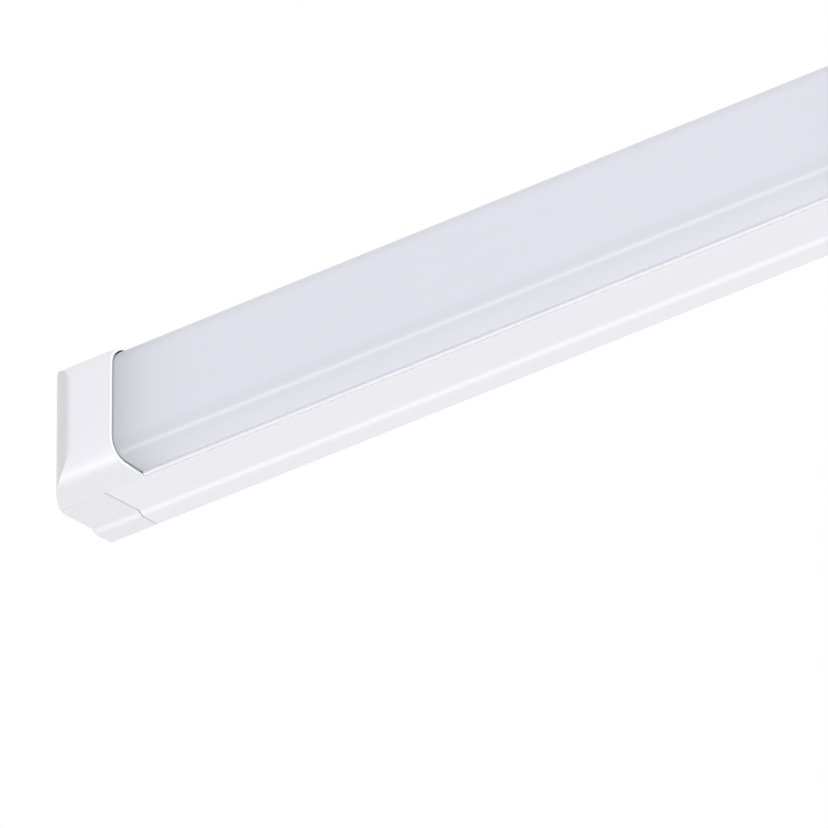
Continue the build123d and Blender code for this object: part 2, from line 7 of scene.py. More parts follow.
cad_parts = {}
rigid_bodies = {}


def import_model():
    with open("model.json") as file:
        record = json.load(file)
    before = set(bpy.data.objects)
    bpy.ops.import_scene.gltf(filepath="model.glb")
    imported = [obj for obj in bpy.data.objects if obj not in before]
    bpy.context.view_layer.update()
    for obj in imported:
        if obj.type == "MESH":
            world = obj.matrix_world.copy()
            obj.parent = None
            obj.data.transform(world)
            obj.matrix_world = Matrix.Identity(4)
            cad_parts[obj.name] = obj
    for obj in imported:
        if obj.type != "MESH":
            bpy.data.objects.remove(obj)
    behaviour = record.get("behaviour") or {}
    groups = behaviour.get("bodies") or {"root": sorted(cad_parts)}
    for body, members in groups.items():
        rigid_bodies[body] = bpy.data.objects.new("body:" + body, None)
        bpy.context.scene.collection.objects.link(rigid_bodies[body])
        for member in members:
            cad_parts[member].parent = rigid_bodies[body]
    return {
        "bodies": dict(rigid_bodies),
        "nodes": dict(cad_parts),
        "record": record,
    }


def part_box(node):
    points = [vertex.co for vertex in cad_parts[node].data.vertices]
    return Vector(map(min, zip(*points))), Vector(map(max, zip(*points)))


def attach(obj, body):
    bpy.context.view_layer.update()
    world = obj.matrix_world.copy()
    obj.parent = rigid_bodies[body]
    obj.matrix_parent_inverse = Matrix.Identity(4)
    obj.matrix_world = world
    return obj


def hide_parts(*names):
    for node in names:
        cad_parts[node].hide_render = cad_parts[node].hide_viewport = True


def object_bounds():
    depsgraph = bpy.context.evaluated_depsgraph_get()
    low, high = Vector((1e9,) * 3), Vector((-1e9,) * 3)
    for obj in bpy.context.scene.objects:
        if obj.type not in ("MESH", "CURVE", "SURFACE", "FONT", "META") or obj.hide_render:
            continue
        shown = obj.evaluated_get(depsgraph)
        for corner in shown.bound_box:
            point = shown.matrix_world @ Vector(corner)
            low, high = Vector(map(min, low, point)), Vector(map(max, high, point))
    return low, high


for leftover in list(bpy.data.objects):
    bpy.data.objects.remove(leftover)

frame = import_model()
cadLow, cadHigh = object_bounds()
cadNodes = frame["nodes"]
slotOf = {part["node"]: part["material_slot"] for part in frame["record"]["subparts"]}
bodyOf = {node: body for body, nodes in frame["record"]["behaviour"]["bodies"].items() for node in nodes}
hoodEdge = -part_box("left_end_cap")[1].x  # the hoods reach this close to the middle
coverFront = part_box("diffuser_cover")[0].z


class Signal:  # a socket that takes part in Python sums
    def __init__(self, recipe, socket):
        self.recipe = recipe
        self.socket = socket

    def sum(self, operation, first, second):
        return self.recipe.node("ShaderNodeMath", {"operation": operation}, {0: first, 1: second})

    def maths(self, operation, other=0.0):
        return self.sum(operation, self, other)

    def __add__(self, other):
        return self.sum("ADD", self, other)

    def __radd__(self, other):
        return self.sum("ADD", other, self)

    def __sub__(self, other):
        return self.sum("SUBTRACT", self, other)

    def __rsub__(self, other):
        return self.sum("SUBTRACT", other, self)

    def __mul__(self, other):
        return self.sum("MULTIPLY", self, other)

    def __rmul__(self, other):
        return self.sum("MULTIPLY", other, self)


class Recipe:  # the nodes of one tree: a finish, the sky or a layout
    def __init__(self, tree):
        self.tree = tree

    def plug(self, socket, value):
        if isinstance(value, Signal):
            self.tree.links.new(value.socket, socket)
        else:
            socket.default_value = value

    def node(self, kind, settings=None, sockets=None, output=0):
        made = self.tree.nodes.new(kind)
        for key, value in (settings or {}).items():
            setattr(made, key, value)
        for key, value in (sockets or {}).items():
            self.plug(made.inputs[key], value)
        return Signal(self, made.outputs[output])


class Finish(Recipe):  # one material
    def __init__(self, name):
        self.material = bpy.data.materials.new(name)
        self.material.use_nodes = True
        super().__init__(self.material.node_tree)
        self.shader = self.tree.nodes["Principled BSDF"]

    def place(self, scale):  # object coordinates, stretched by a scale for each axis
        where = self.node("ShaderNodeTexCoord", output="Object")
        return self.node("ShaderNodeMapping", sockets={"Vector": where, "Scale": scale})

    def noise(self, scale, detail=3.0):
        sockets = {"Vector": self.place(scale), "Scale": 1.0, "Detail": detail}
        return self.node("ShaderNodeTexNoise", {"noise_dimensions": "3D"}, sockets)

    def along(self, axis):  # place along one axis of the object
        where = self.node("ShaderNodeTexCoord", output="Object")
        return self.node("ShaderNodeSeparateXYZ", sockets={0: where}, output=axis)

    def fade(self, distance, reach, amount):  # the amount at no distance, dying away over the reach
        return (distance * (-1 / reach)).maths("EXPONENT") * amount

    def mix(self, amount, first, second):
        sockets = {0: amount, 6: first, 7: second}  # 6, 7 and output 2 are the node's colours
        return self.node("ShaderNodeMix", {"data_type": "RGBA"}, sockets, output=2)

    def shades(self, pattern, colour, darker, lighter):
        return self.mix(pattern, tint(colour, darker), tint(colour, lighter))

    # paints shade into a colour: mixes it towards black by the amount
    def paintShade(self, colour, amount):
        return self.mix(amount, colour, tint((0.0, 0.0, 0.0)))

    def bump(self, height, depth):
        sockets = {"Height": height, "Distance": depth, "Strength": 1.0}
        return self.node("ShaderNodeBump", sockets=sockets, output="Normal")

    def finish(self, **sockets):  # socket names in camelCase: baseColor is Base Color
        for key, value in sockets.items():
            name = "".join(" " + c if c.isupper() else c for c in key).title()
            self.plug(self.shader.inputs[name.replace("Ior", "IOR")], value)
        return self.material


def tint(colour, factor=1.0):
    return tuple(channel * factor for channel in colour) + (1.0,)


# Finishes

def extrudedWhite():  # satin white extrusion with faint die lines along its length
    look = {
        "colour": (0.82, 0.815, 0.853),
        "shades": (0.985, 1.015),
        "patches": (9.0, 30.0, 30.0),
        "lines": (0.6, 700.0, 700.0),
        "lineDepth": 0.000004,
        "roughness": 0.38,
        "lineRoughness": 0.12,
    }
    recipe = Finish("extrudedWhite")
    lines = recipe.noise(look["lines"])
    return recipe.finish(
        baseColor=recipe.shades(recipe.noise(look["patches"]), look["colour"], *look["shades"]),
        roughness=look["roughness"] + lines * look["lineRoughness"],
        normal=recipe.bump(lines, look["lineDepth"]),
    )


def mouldedWhite():  # satin white moulding with a fine even grain, and painted shade along the inner edge of each hood
    look = {
        "colour": (0.796, 0.789, 0.825),
        "shades": (0.985, 1.015),
        "flow": (25.0, 18.0, 18.0),
        "grain": (2200.0, 2200.0, 2200.0),
        "grainDepth": 0.000003,
        "roughness": 0.39,
        "flowRoughness": 0.1,
        "grainRoughness": 0.06,
        "paintedRimShade": 0.16,  # painted shade: the very edge of a hood is painted a little darker
        "paintedRimShadeReach": 0.0005,
    }
    recipe = Finish("mouldedWhite")
    grain = recipe.noise(look["grain"], detail=2.0)
    flow = recipe.noise(look["flow"])
    white = recipe.shades(flow, look["colour"], *look["shades"])
    # painted shade: the colour darkens towards the inner edge of each hood
    fromRim = (recipe.along("X").maths("ABSOLUTE") - hoodEdge).maths("MAXIMUM")
    return recipe.finish(
        baseColor=recipe.paintShade(white, recipe.fade(fromRim, look["paintedRimShadeReach"], look["paintedRimShade"])),
        roughness=look["roughness"] + flow * look["flowRoughness"] + grain * look["grainRoughness"],
        normal=recipe.bump(grain, look["grainDepth"]),
    )


def opalSatin():  # milky cover with painted shade: darker over the hollow behind its front, on its round corners and close to the hoods
    look = {
        "colour": (0.757, 0.761, 0.826),
        "shades": (0.995, 1.005),
        "streaks": (0.8, 220.0, 220.0),
        "roughness": 0.2,
        "streakRoughness": 0.06,
        "specular": 0.07,
        "paintedHoodShade": 0.26,
        "paintedHoodShadeReach": 0.017,
        "paintedFrontShade": 0.075,
        "paintedFrontShadeReach": 0.006,  # how far the front's painted shade runs up the sides
        "paintedCornerShade": 0.085,
        "paintedCornerShadeDepth": 0.0025,  # behind the front, where the painted shade on the round corner is darkest
    }
    recipe = Finish("opalSatin")
    streaks = recipe.noise(look["streaks"])
    fromHood = (hoodEdge - recipe.along("X").maths("ABSOLUTE")).maths("MAXIMUM")
    fromFront = (recipe.along("Z") - coverFront).maths("MAXIMUM")
    # painted shade: darker close to the hoods, over the front, and most on the round corners just behind the
    # front
    hoodPaint = recipe.fade(fromHood, look["paintedHoodShadeReach"], look["paintedHoodShade"])
    frontPaint = recipe.fade(fromFront, look["paintedFrontShadeReach"], look["paintedFrontShade"])
    corner = fromFront * (1 / look["paintedCornerShadeDepth"])
    cornerPaint = corner * (1 - corner).maths("EXPONENT") * look["paintedCornerShade"]
    milk = recipe.shades(streaks, look["colour"], *look["shades"])
    return recipe.finish(
        baseColor=recipe.paintShade(milk, 1 - (1 - hoodPaint) * (1 - frontPaint - cornerPaint)),
        roughness=look["roughness"] + streaks * look["streakRoughness"],
        specularIorLevel=look["specular"],
    )


def darkRubber():
    look = {
        "dark": (0.012, 0.012, 0.014),
        "pale": (0.03, 0.03, 0.033),
        "grain": (3000.0, 3000.0, 3000.0),
        "grainDepth": 0.00001,
        "roughness": 0.7,
        "grainRoughness": 0.2,
    }
    recipe = Finish("darkRubber")
    grain = recipe.noise(look["grain"])
    return recipe.finish(
        baseColor=recipe.mix(grain, tint(look["dark"]), tint(look["pale"])),
        roughness=look["roughness"] + grain * look["grainRoughness"],
        normal=recipe.bump(grain, look["grainDepth"]),
    )


def brushedSteel(name, colour, strokes, roughness):  # strokes: pattern scale for each axis
    look = {"shades": (0.9, 1.08), "lineRoughness": 0.15, "lineDepth": 0.000004}
    recipe = Finish(name)
    lines = recipe.noise(strokes)
    return recipe.finish(
        baseColor=recipe.shades(lines, colour, *look["shades"]),
        metallic=1.0,
        roughness=roughness + lines * look["lineRoughness"],
        normal=recipe.bump(lines, look["lineDepth"]),
    )


def stripedSleeve():  # green lead with a yellow stripe along each flank
    look = {"green": (0.03, 0.22, 0.03), "yellow": (0.72, 0.55, 0.02), "stripe": 0.0006, "roughness": 0.35}
    recipe = Finish("stripedSleeve")
    low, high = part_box("earth_wire")
    offset = (recipe.along("Y") - (low.y + high.y) / 2).maths("ABSOLUTE")
    striped = offset.maths("GREATER_THAN", look["stripe"])
    colour = recipe.mix(striped, tint(look["green"]), tint(look["yellow"]))
    return recipe.finish(baseColor=colour, roughness=look["roughness"])


def mouldedPlastic(name, colour, roughness=0.4):
    look = {
        "shades": (0.93, 1.05),
        "flow": (120.0, 120.0, 120.0),
        "grain": (2500.0, 2500.0, 2500.0),
        "grainDepth": 0.000006,
        "grainRoughness": 0.12,
    }
    recipe = Finish(name)
    grain = recipe.noise(look["grain"], detail=2.0)
    return recipe.finish(
        baseColor=recipe.shades(recipe.noise(look["flow"]), colour, *look["shades"]),
        roughness=roughness + grain * look["grainRoughness"],
        normal=recipe.bump(grain, look["grainDepth"]),
    )


steelAlong = (15.0, 2500.0, 2500.0)
steelTurned = (900.0, 900.0, 900.0)
finishes = {
    "base_plastic": extrudedWhite(),
    "cap_plastic": mouldedWhite(),
    "opal_cover": opalSatin(),
    "gasket_rubber": darkRubber(),
    "screw_steel": brushedSteel("turnedSteel", (0.62, 0.62, 0.63), steelTurned, 0.25),
    "clip_steel": brushedSteel("springSteel", (0.56, 0.56, 0.57), steelAlong, 0.3),
    "tray_steel": brushedSteel("zincedSteel", (0.5, 0.51, 0.53), steelAlong, 0.38),
    "tag_brass": brushedSteel("tinnedBrass", (0.68, 0.6, 0.42), steelTurned, 0.3),
    "driver_plastic": mouldedPlastic("driverWhite", (0.74, 0.74, 0.73)),
    "terminal_plastic": mouldedPlastic("terminalGrey", (0.55, 0.55, 0.53)),
    "live_button": mouldedPlastic("liveBrown", (0.1, 0.04, 0.02)),
    "neutral_button": mouldedPlastic("neutralBlue", (0.02, 0.07, 0.32)),
    "earth_button": mouldedPlastic("earthGreen", (0.03, 0.2, 0.05)),
    "brown_wire": mouldedPlastic("brownSleeve", (0.09, 0.035, 0.016), 0.32),
    "blue_wire": mouldedPlastic("blueSleeve", (0.015, 0.07, 0.36), 0.32),
    "green_wire": stripedSleeve(),
    "red_wire": mouldedPlastic("redSleeve", (0.42, 0.012, 0.01), 0.32),
    "black_wire": mouldedPlastic("blackSleeve", (0.012, 0.012, 0.012), 0.32),
    "board_white": mouldedPlastic("solderMask", (0.8, 0.8, 0.78), 0.3),
    "led_yellow": mouldedPlastic("phosphor", (0.75, 0.52, 0.06), 0.25),
    "connector_plastic": mouldedPlastic("connectorWhite", (0.76, 0.74, 0.68)),
    "gland_nylon": mouldedPlastic("glandNylon", (0.68, 0.68, 0.69)),
}
for nodeName, cadNode in cadNodes.items():
    cadNode.material_slots[0].material = finishes[slotOf[nodeName]]
print("finishes:", len(finishes))


# Ways of making pieces

def addPiece(name, mesh):
    piece = bpy.data.objects.new(name, mesh)
    bpy.context.scene.collection.objects.link(piece)
    return piece


def plainMesh(piece):
    bpy.context.view_layer.update()
    graph = bpy.context.evaluated_depsgraph_get()
    return bpy.data.meshes.new_from_object(piece.evaluated_get(graph))


def settle(piece):  # its modifiers become a plain mesh
    mesh = plainMesh(piece)
    piece.modifiers.clear()
    piece.data = mesh
    return piece


def smooth(mesh, limit=35.0):  # smooth shading up to an angle in degrees, crisp edges beyond it
    mesh.shade_smooth()
    shape = bmesh.new()
    shape.from_mesh(mesh)
    for edge in shape.edges:
        edge.smooth = len(edge.link_faces) == 2 and edge.calc_face_angle() < math.radians(limit)
    shape.to_mesh(mesh)
    shape.free()


def standFor(piece, *nodes):
    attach(piece, bodyOf[nodes[0]])
    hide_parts(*nodes)


def tubeMesh(name, rings):  # rings of points, joined one after another and closed at both ends
    shape = bmesh.new()
    loops = [[shape.verts.new(point) for point in ring] for ring in rings]
    for lower, upper in zip(loops, loops[1:]):
        for i in range(len(lower)):
            j = (i + 1) % len(lower)
            shape.faces.new((lower[i], lower[j], upper[j], upper[i]))
    shape.faces.new(reversed(loops[0]))
    shape.faces.new(loops[-1])
    mesh = bpy.data.meshes.new(name)
    shape.to_mesh(mesh)
    shape.free()
    return mesh


class Layout(Recipe):  # a geometry tree that ends in real geometry with its finish
    def __init__(self, name):
        super().__init__(bpy.data.node_groups.new(name, "GeometryNodeTree"))
        self.tree.interface.new_socket("Geometry", in_out="OUTPUT", socket_type="NodeSocketGeometry")
        self.entry = self.tree.nodes.new("NodeGroupInput")
        self.exit = self.tree.nodes.new("NodeGroupOutput")

    def size(self, name, kind="Float"):
        self.tree.interface.new_socket(name, in_out="INPUT", socket_type="NodeSocket" + kind)
        return Signal(self, self.entry.outputs[name])

    def item(self):
        sockets = {"Object": self.size("Item", "Object")}
        return self.node("GeometryNodeObjectInfo", sockets=sockets, output="Geometry")

    def close(self, shape):
        real = self.node("GeometryNodeRealizeInstances", sockets={"Geometry": shape})
        sockets = {"Geometry": real, "Material": self.size("Finish", "Material")}
        self.plug(self.exit.inputs["Geometry"], self.node("GeometryNodeSetMaterial", sockets=sockets))

    def make(self, name, values, start=None):  # one piece from this tree, as a plain mesh
        piece = addPiece(name, start or bpy.data.meshes.new(name))
        layout = piece.modifiers.new(name, "NODES")
        layout.node_group = self.tree
        for socket in self.tree.interface.items_tree:
            if socket.name in values:
                layout[socket.identifier] = values[socket.name]
        return settle(piece)


def itemsAtPoints():  # one item at each point of the start mesh
    layout = Layout("itemsAtPoints")
    points = layout.size("Points", "Geometry")
    item = layout.item()
    sockets = {"Points": points, "Instance": item, "Rotation": layout.size("Turn", "Rotation")}
    layout.close(layout.node("GeometryNodeInstanceOnPoints", sockets=sockets))
    return layout


def itemsInRow():  # evenly spaced items along X
    layout = Layout("itemsInRow")
    step = layout.node("ShaderNodeCombineXYZ", sockets={"X": layout.size("Pitch")})
    first = layout.size("First", "Vector")
    sockets = {"Count": layout.size("Count", "Int"), "Start Location": first, "Offset": step}
    line = layout.node("GeometryNodeMeshLine", {"mode": "OFFSET"}, sockets)
    item = layout.item()
    layout.close(layout.node("GeometryNodeInstanceOnPoints", sockets={"Points": line, "Instance": item}))
    return layout


pointLayout = itemsAtPoints()
rowLayout = itemsInRow()


# Screws with a real thread and a cross recess

screwLook = {
    "around": 16,
    "rowsPerTurn": 6,
    "threadDepth": 0.16,  # shares of the shank's radius
    "pitch": 0.7,
    "tip": 0.35,
    "skirt": ((0.96, 0.0), (1.0, 0.06)),  # radius and height under the crown, shares of the head's
    "crownStart": 0.45,  # share of the head's height
    "crownTop": 0.62,  # share of the head's radius
    "crownSteps": 5,
    "recessSpan": 0.55,  # shares of the head's radius
    "recessWidth": 0.14,
    "recessDepth": 0.6,  # share of the head's height
    "recessLevels": ((0.7, -1.0), (1.0, 0.0), (1.1, 1.0)),  # size, and height in depths of the recess
}


def ring(radius, height, steps):
    turns = [2 * math.pi * i / steps for i in range(steps)]
    return [(radius * math.cos(turn), radius * math.sin(turn), height) for turn in turns]


def crossCutter(top, headRadius, depth):
    long = screwLook["recessSpan"] * headRadius
    slim = screwLook["recessWidth"] * headRadius
    corner = [(long, slim), (slim, slim), (slim, long)]
    outline = []
    for quarter in range(4):
        turn = Matrix.Rotation(quarter * math.pi / 2, 2)
        outline += [turn @ Vector(point) for point in corner]
    levels = [(size, top + step * depth) for size, step in screwLook["recessLevels"]]
    rings = [[(point.x * size, point.y * size, height) for point in outline] for size, height in levels]
    return addPiece("crossCutter", tubeMesh("crossCutter", rings))


def makeScrew(name, radius, length, headRadius, head):  # head on z = 0, shank downwards
    look = screwLook
    around = look["around"]
    pitch = look["pitch"] * radius
    root = radius * (1 - look["threadDepth"])
    rows = round(length / pitch * look["rowsPerTurn"])
    rings = []
    for row in range(rows + 1):
        height = -length + length * row / rows
        point = min(1.0, look["tip"] + (height + length) / (2 * radius))  # the tip is drawn in
        loop = []
        for i in range(around):
            phase = (height / pitch - i / around) % 1.0
            crest = 1 - abs(2 * phase - 1)
            reach = point * (root + (radius - root) * crest)
            turn = 2 * math.pi * i / around
            loop.append((reach * math.cos(turn), reach * math.sin(turn), height))
        rings.append(loop)
    for share, height in look["skirt"]:
        rings.append(ring(headRadius * share, head * height, around))
    for step in range(look["crownSteps"] + 1):
        turn = math.pi / 2 * step / look["crownSteps"]
        reach = look["crownTop"] + (1 - look["crownTop"]) * math.cos(turn)
        height = look["crownStart"] + (1 - look["crownStart"]) * math.sin(turn)
        rings.append(ring(headRadius * reach, head * height, around))
    screw = addPiece(name, tubeMesh(name, rings))
    cutter = crossCutter(head, headRadius, look["recessDepth"] * head)
    cut = screw.modifiers.new("recess", "BOOLEAN")
    cut.object = cutter
    settle(screw)
    smooth(screw.data)
    bpy.data.objects.remove(cutter)
    return screw


def placeScrews(node, screw, points, turn):
    start = bpy.data.meshes.new(node)
    start.from_pydata(points, [], [])
    values = {"Item": screw, "Turn": turn, "Finish": finishes[slotOf[node]]}
    standFor(pointLayout.make("threaded_" + node, values, start), node)


capScrew = {"radius": 0.002, "headRadius": 0.0035, "head": 0.0026}
smallScrew = {"radius": 0.0015, "headRadius": 0.0028, "head": 0.0018}


def capScrewSet(node, side):
    low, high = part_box(node)
    rim = capScrew["headRadius"]
    seat = (low.x if side < 0 else high.x) - side * capScrew["head"]
    screw = makeScrew(node + "_item", length=high.x - low.x - capScrew["head"], **capScrew)
    points = [(seat, y, z) for y in (low.y + rim, high.y - rim) for z in (low.z + rim, high.z - rim)]
    placeScrews(node, screw, points, (0.0, side * math.pi / 2, 0.0))
    bpy.data.objects.remove(screw)


def smallScrewSet(node, count):  # screws on the tray, set from corner to corner of their box
    low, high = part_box(node)
    rim = smallScrew["headRadius"]
    screw = makeScrew(node + "_item", length=high.z - low.z - smallScrew["head"], **smallScrew)
    start = Vector((low.x + rim, low.y + rim, high.z - smallScrew["head"]))
    end = Vector((high.x - rim, high.y - rim, high.z - smallScrew["head"]))
    points = [start.lerp(end, i / max(count - 1, 1)) for i in range(count)]
    placeScrews(node, screw, points, (0.0, 0.0, 0.0))
    bpy.data.objects.remove(screw)


capScrewSet("left_cap_screws", -1)
capScrewSet("right_cap_screws", 1)
smallScrewSet("tray_screws", 2)
smallScrewSet("driver_screws", 2)
smallScrewSet("earth_screw", 1)
print("screws placed")


# Formed and moulded pieces with softened edges

edgeRadius = {  # metres
    "mounting_clip_left": 0.00018,
    "mounting_clip_right": 0.00018,
    "gear_tray": 0.0002,
    "driver_case": 0.0005,
    "driver_lid": 0.00025,
    "terminal_block": 0.0004,
    "release_button_earth": 0.00025,
    "release_button_neutral": 0.00025,
    "release_button_live": 0.00025,
    "earth_tag": 0.00015,
    "web_grommet": 0.0003,
    "led_board_left": 0.00015,
    "led_board_right": 0.00015,
    "board_connector": 0.0004,
    "board_link": 0.0004,
    "gland_body": 0.0003,
    "gland_locknut": 0.0004,
    "gland_clamp_ring": 0.0003,
    "gland_nut": 0.0005,
}
softening = {"weld": 0.000002, "flat": math.radians(1.0), "bend": math.radians(40.0), "segments": 3}


def welded(node):  # a copy of the node's mesh with its points joined
    shape = bmesh.new()
    shape.from_mesh(cadNodes[node].data)
    bmesh.ops.remove_doubles(shape, verts=shape.verts, dist=softening["weld"])
    return shape


def finished(name, shape, node):  # the shape as a mesh with the node's finish
    mesh = bpy.data.meshes.new(name)
    shape.to_mesh(mesh)
    shape.free()
    mesh.materials.append(finishes[slotOf[node]])
    return mesh


def softened(node, radius):
    name = "softened_" + node
    shape = welded(node)
    bmesh.ops.dissolve_limit(shape, angle_limit=softening["flat"], verts=shape.verts, edges=shape.edges)
    piece = addPiece(name, finished(name, shape, node))
    bevel = piece.modifiers.new("edges", "BEVEL")
    bevel.width = radius
    bevel.segments = softening["segments"]
    bevel.limit_method = "ANGLE"
    bevel.angle_limit = softening["bend"]
    settle(piece)
    smooth(piece.data)
    standFor(piece, node)


for node, radius in edgeRadius.items():
    softened(node, radius)
print("edges softened:", len(edgeRadius))


# End caps: the crease between front and domed slope is eased

capLook = {  # metres
    "slopeLength": 0.0301,
    "slopeDepth": 0.032,
    "slopeBulge": 0.0051,
    "creaseRadius": 0.011,
    "loops": 10,  # cuts across the eased strip
    "margin": 0.0003,  # one more cut on each side keeps the flat parts flat
    "crisp": 20.0,  # edges sharper than this many degrees stay crisp
}


def creaseArc():  # where the eased strip starts and ends, outwards from the crease
    look = capLook
    chord = Vector((look["slopeLength"], look["slopeDepth"]))
    bulge = look["slopeBulge"]
    domeRadius = (chord.length_squared / 4 + bulge ** 2) / (2 * bulge)
    outwards = Vector((chord.y, -chord.x)).normalized()
    dome = chord / 2 - outwards * (domeRadius - bulge)
    inner = domeRadius - look["creaseRadius"]
    start = dome.x + math.sqrt(inner ** 2 - (look["creaseRadius"] - dome.y) ** 2)
    towards = (Vector((start, look["creaseRadius"])) - dome).normalized()
    return start, (dome + towards * domeRadius).x


def easedCap(node, side):
    look = capLook
    low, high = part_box(node)
    crease = (high.x if side > 0 else low.x) - side * look["slopeLength"]
    start, end = creaseArc()
    cuts = [start + (end - start) * i / look["loops"] for i in range(look["loops"] + 1)]
    shape = welded(node)
    for cut in [start - look["margin"], *cuts, end + look["margin"]]:
        everything = [*shape.verts, *shape.edges, *shape.faces]
        place = (crease + side * cut, 0, 0)
        bmesh.ops.bisect_plane(shape, geom=everything, plane_co=place, plane_no=(1, 0, 0))
    for point in shape.verts:
        reach = side * (point.co.x - crease) - start
        if 0 < reach < end - start:
            rise = look["creaseRadius"] - math.sqrt(look["creaseRadius"] ** 2 - reach ** 2)
            point.co.z = max(point.co.z, low.z + rise)
    mesh = finished("eased_" + node, shape, node)
    smooth(mesh, look["crisp"])
    standFor(addPiece(mesh.name, mesh), node)


easedCap("left_end_cap", -1)
easedCap("right_end_cap", 1)
print("caps eased")


# LED packages: a white body with a yellow window

ledLook = {
    "count": 24,
    "length": 0.0035,
    "rim": 0.0004,
    "sink": 0.00015,
    "dome": 0.0001,
    "slant": 1.3,  # shares of the rim: the cup's bottom edge, then the window's three edges
    "window": (1.35, 1.89, 2.7),
}


def makeLed(length, width, height):
    look = ledLook
    corners = ((1, 1), (-1, 1), (-1, -1), (1, -1))

    def frameRing(inset, z):
        return [(x * (length / 2 - inset), y * (width / 2 - inset), z) for x, y in corners]

    rim = look["rim"]
    levels = [(0.0, 0.0), (0.0, -height), (rim, -height), (rim * look["slant"], look["sink"] - height)]
    body = addPiece("ledBody", tubeMesh("ledBody", [frameRing(*level) for level in levels]))
    levels = [(rim * edge, z - height) for edge, z in zip(look["window"], (look["sink"], look["dome"], 0.0))]
    window = addPiece("ledWindow", tubeMesh("ledWindow", [frameRing(*level) for level in levels]))
    return body, window


def ledRow(node):
    low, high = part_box(node)
    length = ledLook["length"]
    body, window = makeLed(length, high.y - low.y, high.z - low.z)
    run = high.x - low.x - length
    values = {
        "Count": ledLook["count"],
        "Pitch": run / (ledLook["count"] - 1),
        "First": (low.x + length / 2, (low.y + high.y) / 2, high.z),
    }
    cups = rowLayout.make(node + "_cups", {**values, "Item": body, "Finish": finishes["board_white"]})
    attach(cups, bodyOf[node])
    windows = rowLayout.make(node + "_windows", {**values, "Item": window, "Finish": finishes[slotOf[node]]})
    standFor(windows, node)
    for item in (body, window):
        bpy.data.objects.remove(item)


ledRow("led_packages_left")
ledRow("led_packages_right")
print("led rows placed")


# Wires: smooth tubes along their routes

wireLook = {
    "mains": 0.0012,  # radii
    "led": 0.0009,
    "straight": 0.013,  # run before the bend
    "earthStraight": 0.005,
    "steps": 12,  # along each stretch
    "roundness": 4,
    "crisp": 50.0,  # degrees: only the cut ends stay crisp
}


def makeWire(node, points, radius):
    data = bpy.data.curves.new(node + "_line", "CURVE")
    data.dimensions = "3D"
    data.bevel_depth = radius
    data.bevel_resolution = wireLook["roundness"]
    data.use_fill_caps = True
    data.resolution_u = wireLook["steps"]
    spline = data.splines.new("NURBS")
    spline.points.add(len(points) - 1)
    for point, place in zip(spline.points, points):
        point.co = (*place, 1.0)
    spline.order_u = 3
    spline.use_endpoint_u = True
    line = addPiece(node + "_line", data)
    mesh = plainMesh(line)
    bpy.data.objects.remove(line)
    smooth(mesh, wireLook["crisp"])
    mesh.materials.clear()
    mesh.materials.append(finishes[slotOf[node]])
    standFor(addPiece(node + "_sleeve", mesh), node)


def mainsWire(node, startHigh):  # from the driver to the terminal, level, with one sidestep
    low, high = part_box(node)
    radius = wireLook["mains"]
    sides = (high.y - radius, low.y + radius) if startHigh else (low.y + radius, high.y - radius)
    straight = wireLook["straight"]
    level = (low.z + high.z) / 2
    start, end = sides
    places = ((low.x, start), (low.x + straight, start), (high.x - straight, end), (high.x, end))
    makeWire(node, [(x, y, level) for x, y in places], radius)


def earthWire(node):  # from the ring tag up to the terminal
    low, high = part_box(node)
    radius = wireLook["mains"]
    straight = wireLook["earthStraight"]
    y = (low.y + high.y) / 2
    bottom, top = low.z + radius, high.z - radius
    places = ((low.x, bottom), (low.x + straight, bottom), (high.x - straight, top), (high.x, top))
    makeWire(node, [(x, y, z) for x, z in places], radius)


def ledWire(node):  # from the driver, down through the web, to the board's connector
    low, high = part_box(node)
    radius = wireLook["led"]
    y = (low.y + high.y) / 2
    back, front = high.z - radius, low.z + radius
    turn = low.x + radius
    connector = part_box("board_connector")[0].x
    places = ((high.x, back), (turn, back), (turn, front), (connector, front))
    makeWire(node, [(x, y, z) for x, z in places], radius)


mainsWire("neutral_wire", True)
mainsWire("live_wire", False)
earthWire("earth_wire")
ledWire("led_negative_wire")
ledWire("led_positive_wire")
print("wires laid")


# Stage: floor, world, lamps and camera

stage = {
    "floorSize": 9.0,
    "floorDrop": 0.3,  # under the lowest point of the fixture
    "floorColour": (0.82, 0.82, 0.83, 1.0),
    "floorRoughness": 0.8,
    "skyColour": (1.0, 1.0, 1.0, 1.0),
    "skyStrength": 0.66,
    "skyLean": (0.45, 0.0, 0.05),  # the sky is brighter this way, and darker the other way
}


def makeFloor():
    mesh = bpy.data.meshes.new("floor")
    half = stage["floorSize"] / 2
    level = cadLow.z - stage["floorDrop"]
    corners = [(x, y, level) for x, y in ((-half, -half), (half, -half), (half, half), (-half, half))]
    mesh.from_pydata(corners, [], [(0, 1, 2, 3)])
    floor = addPiece("floor", mesh)
    recipe = Finish("paleFloor")
    recipe.finish(baseColor=stage["floorColour"], roughness=stage["floorRoughness"])
    lamplight = recipe.node("ShaderNodeLightPath", output="Is Shadow Ray")
    underside = recipe.node("ShaderNodeNewGeometry", output="Backfacing")
    seeThrough = recipe.node("ShaderNodeBsdfTransparent")
    solid = Signal(recipe, recipe.shader.outputs[0])
    sockets = {0: lamplight.maths("MAXIMUM", underside), 1: solid, 2: seeThrough}
    surface = recipe.node("ShaderNodeMixShader", sockets=sockets)
    recipe.plug(recipe.tree.nodes["Material Output"].inputs["Surface"], surface)
    mesh.materials.append(recipe.material)


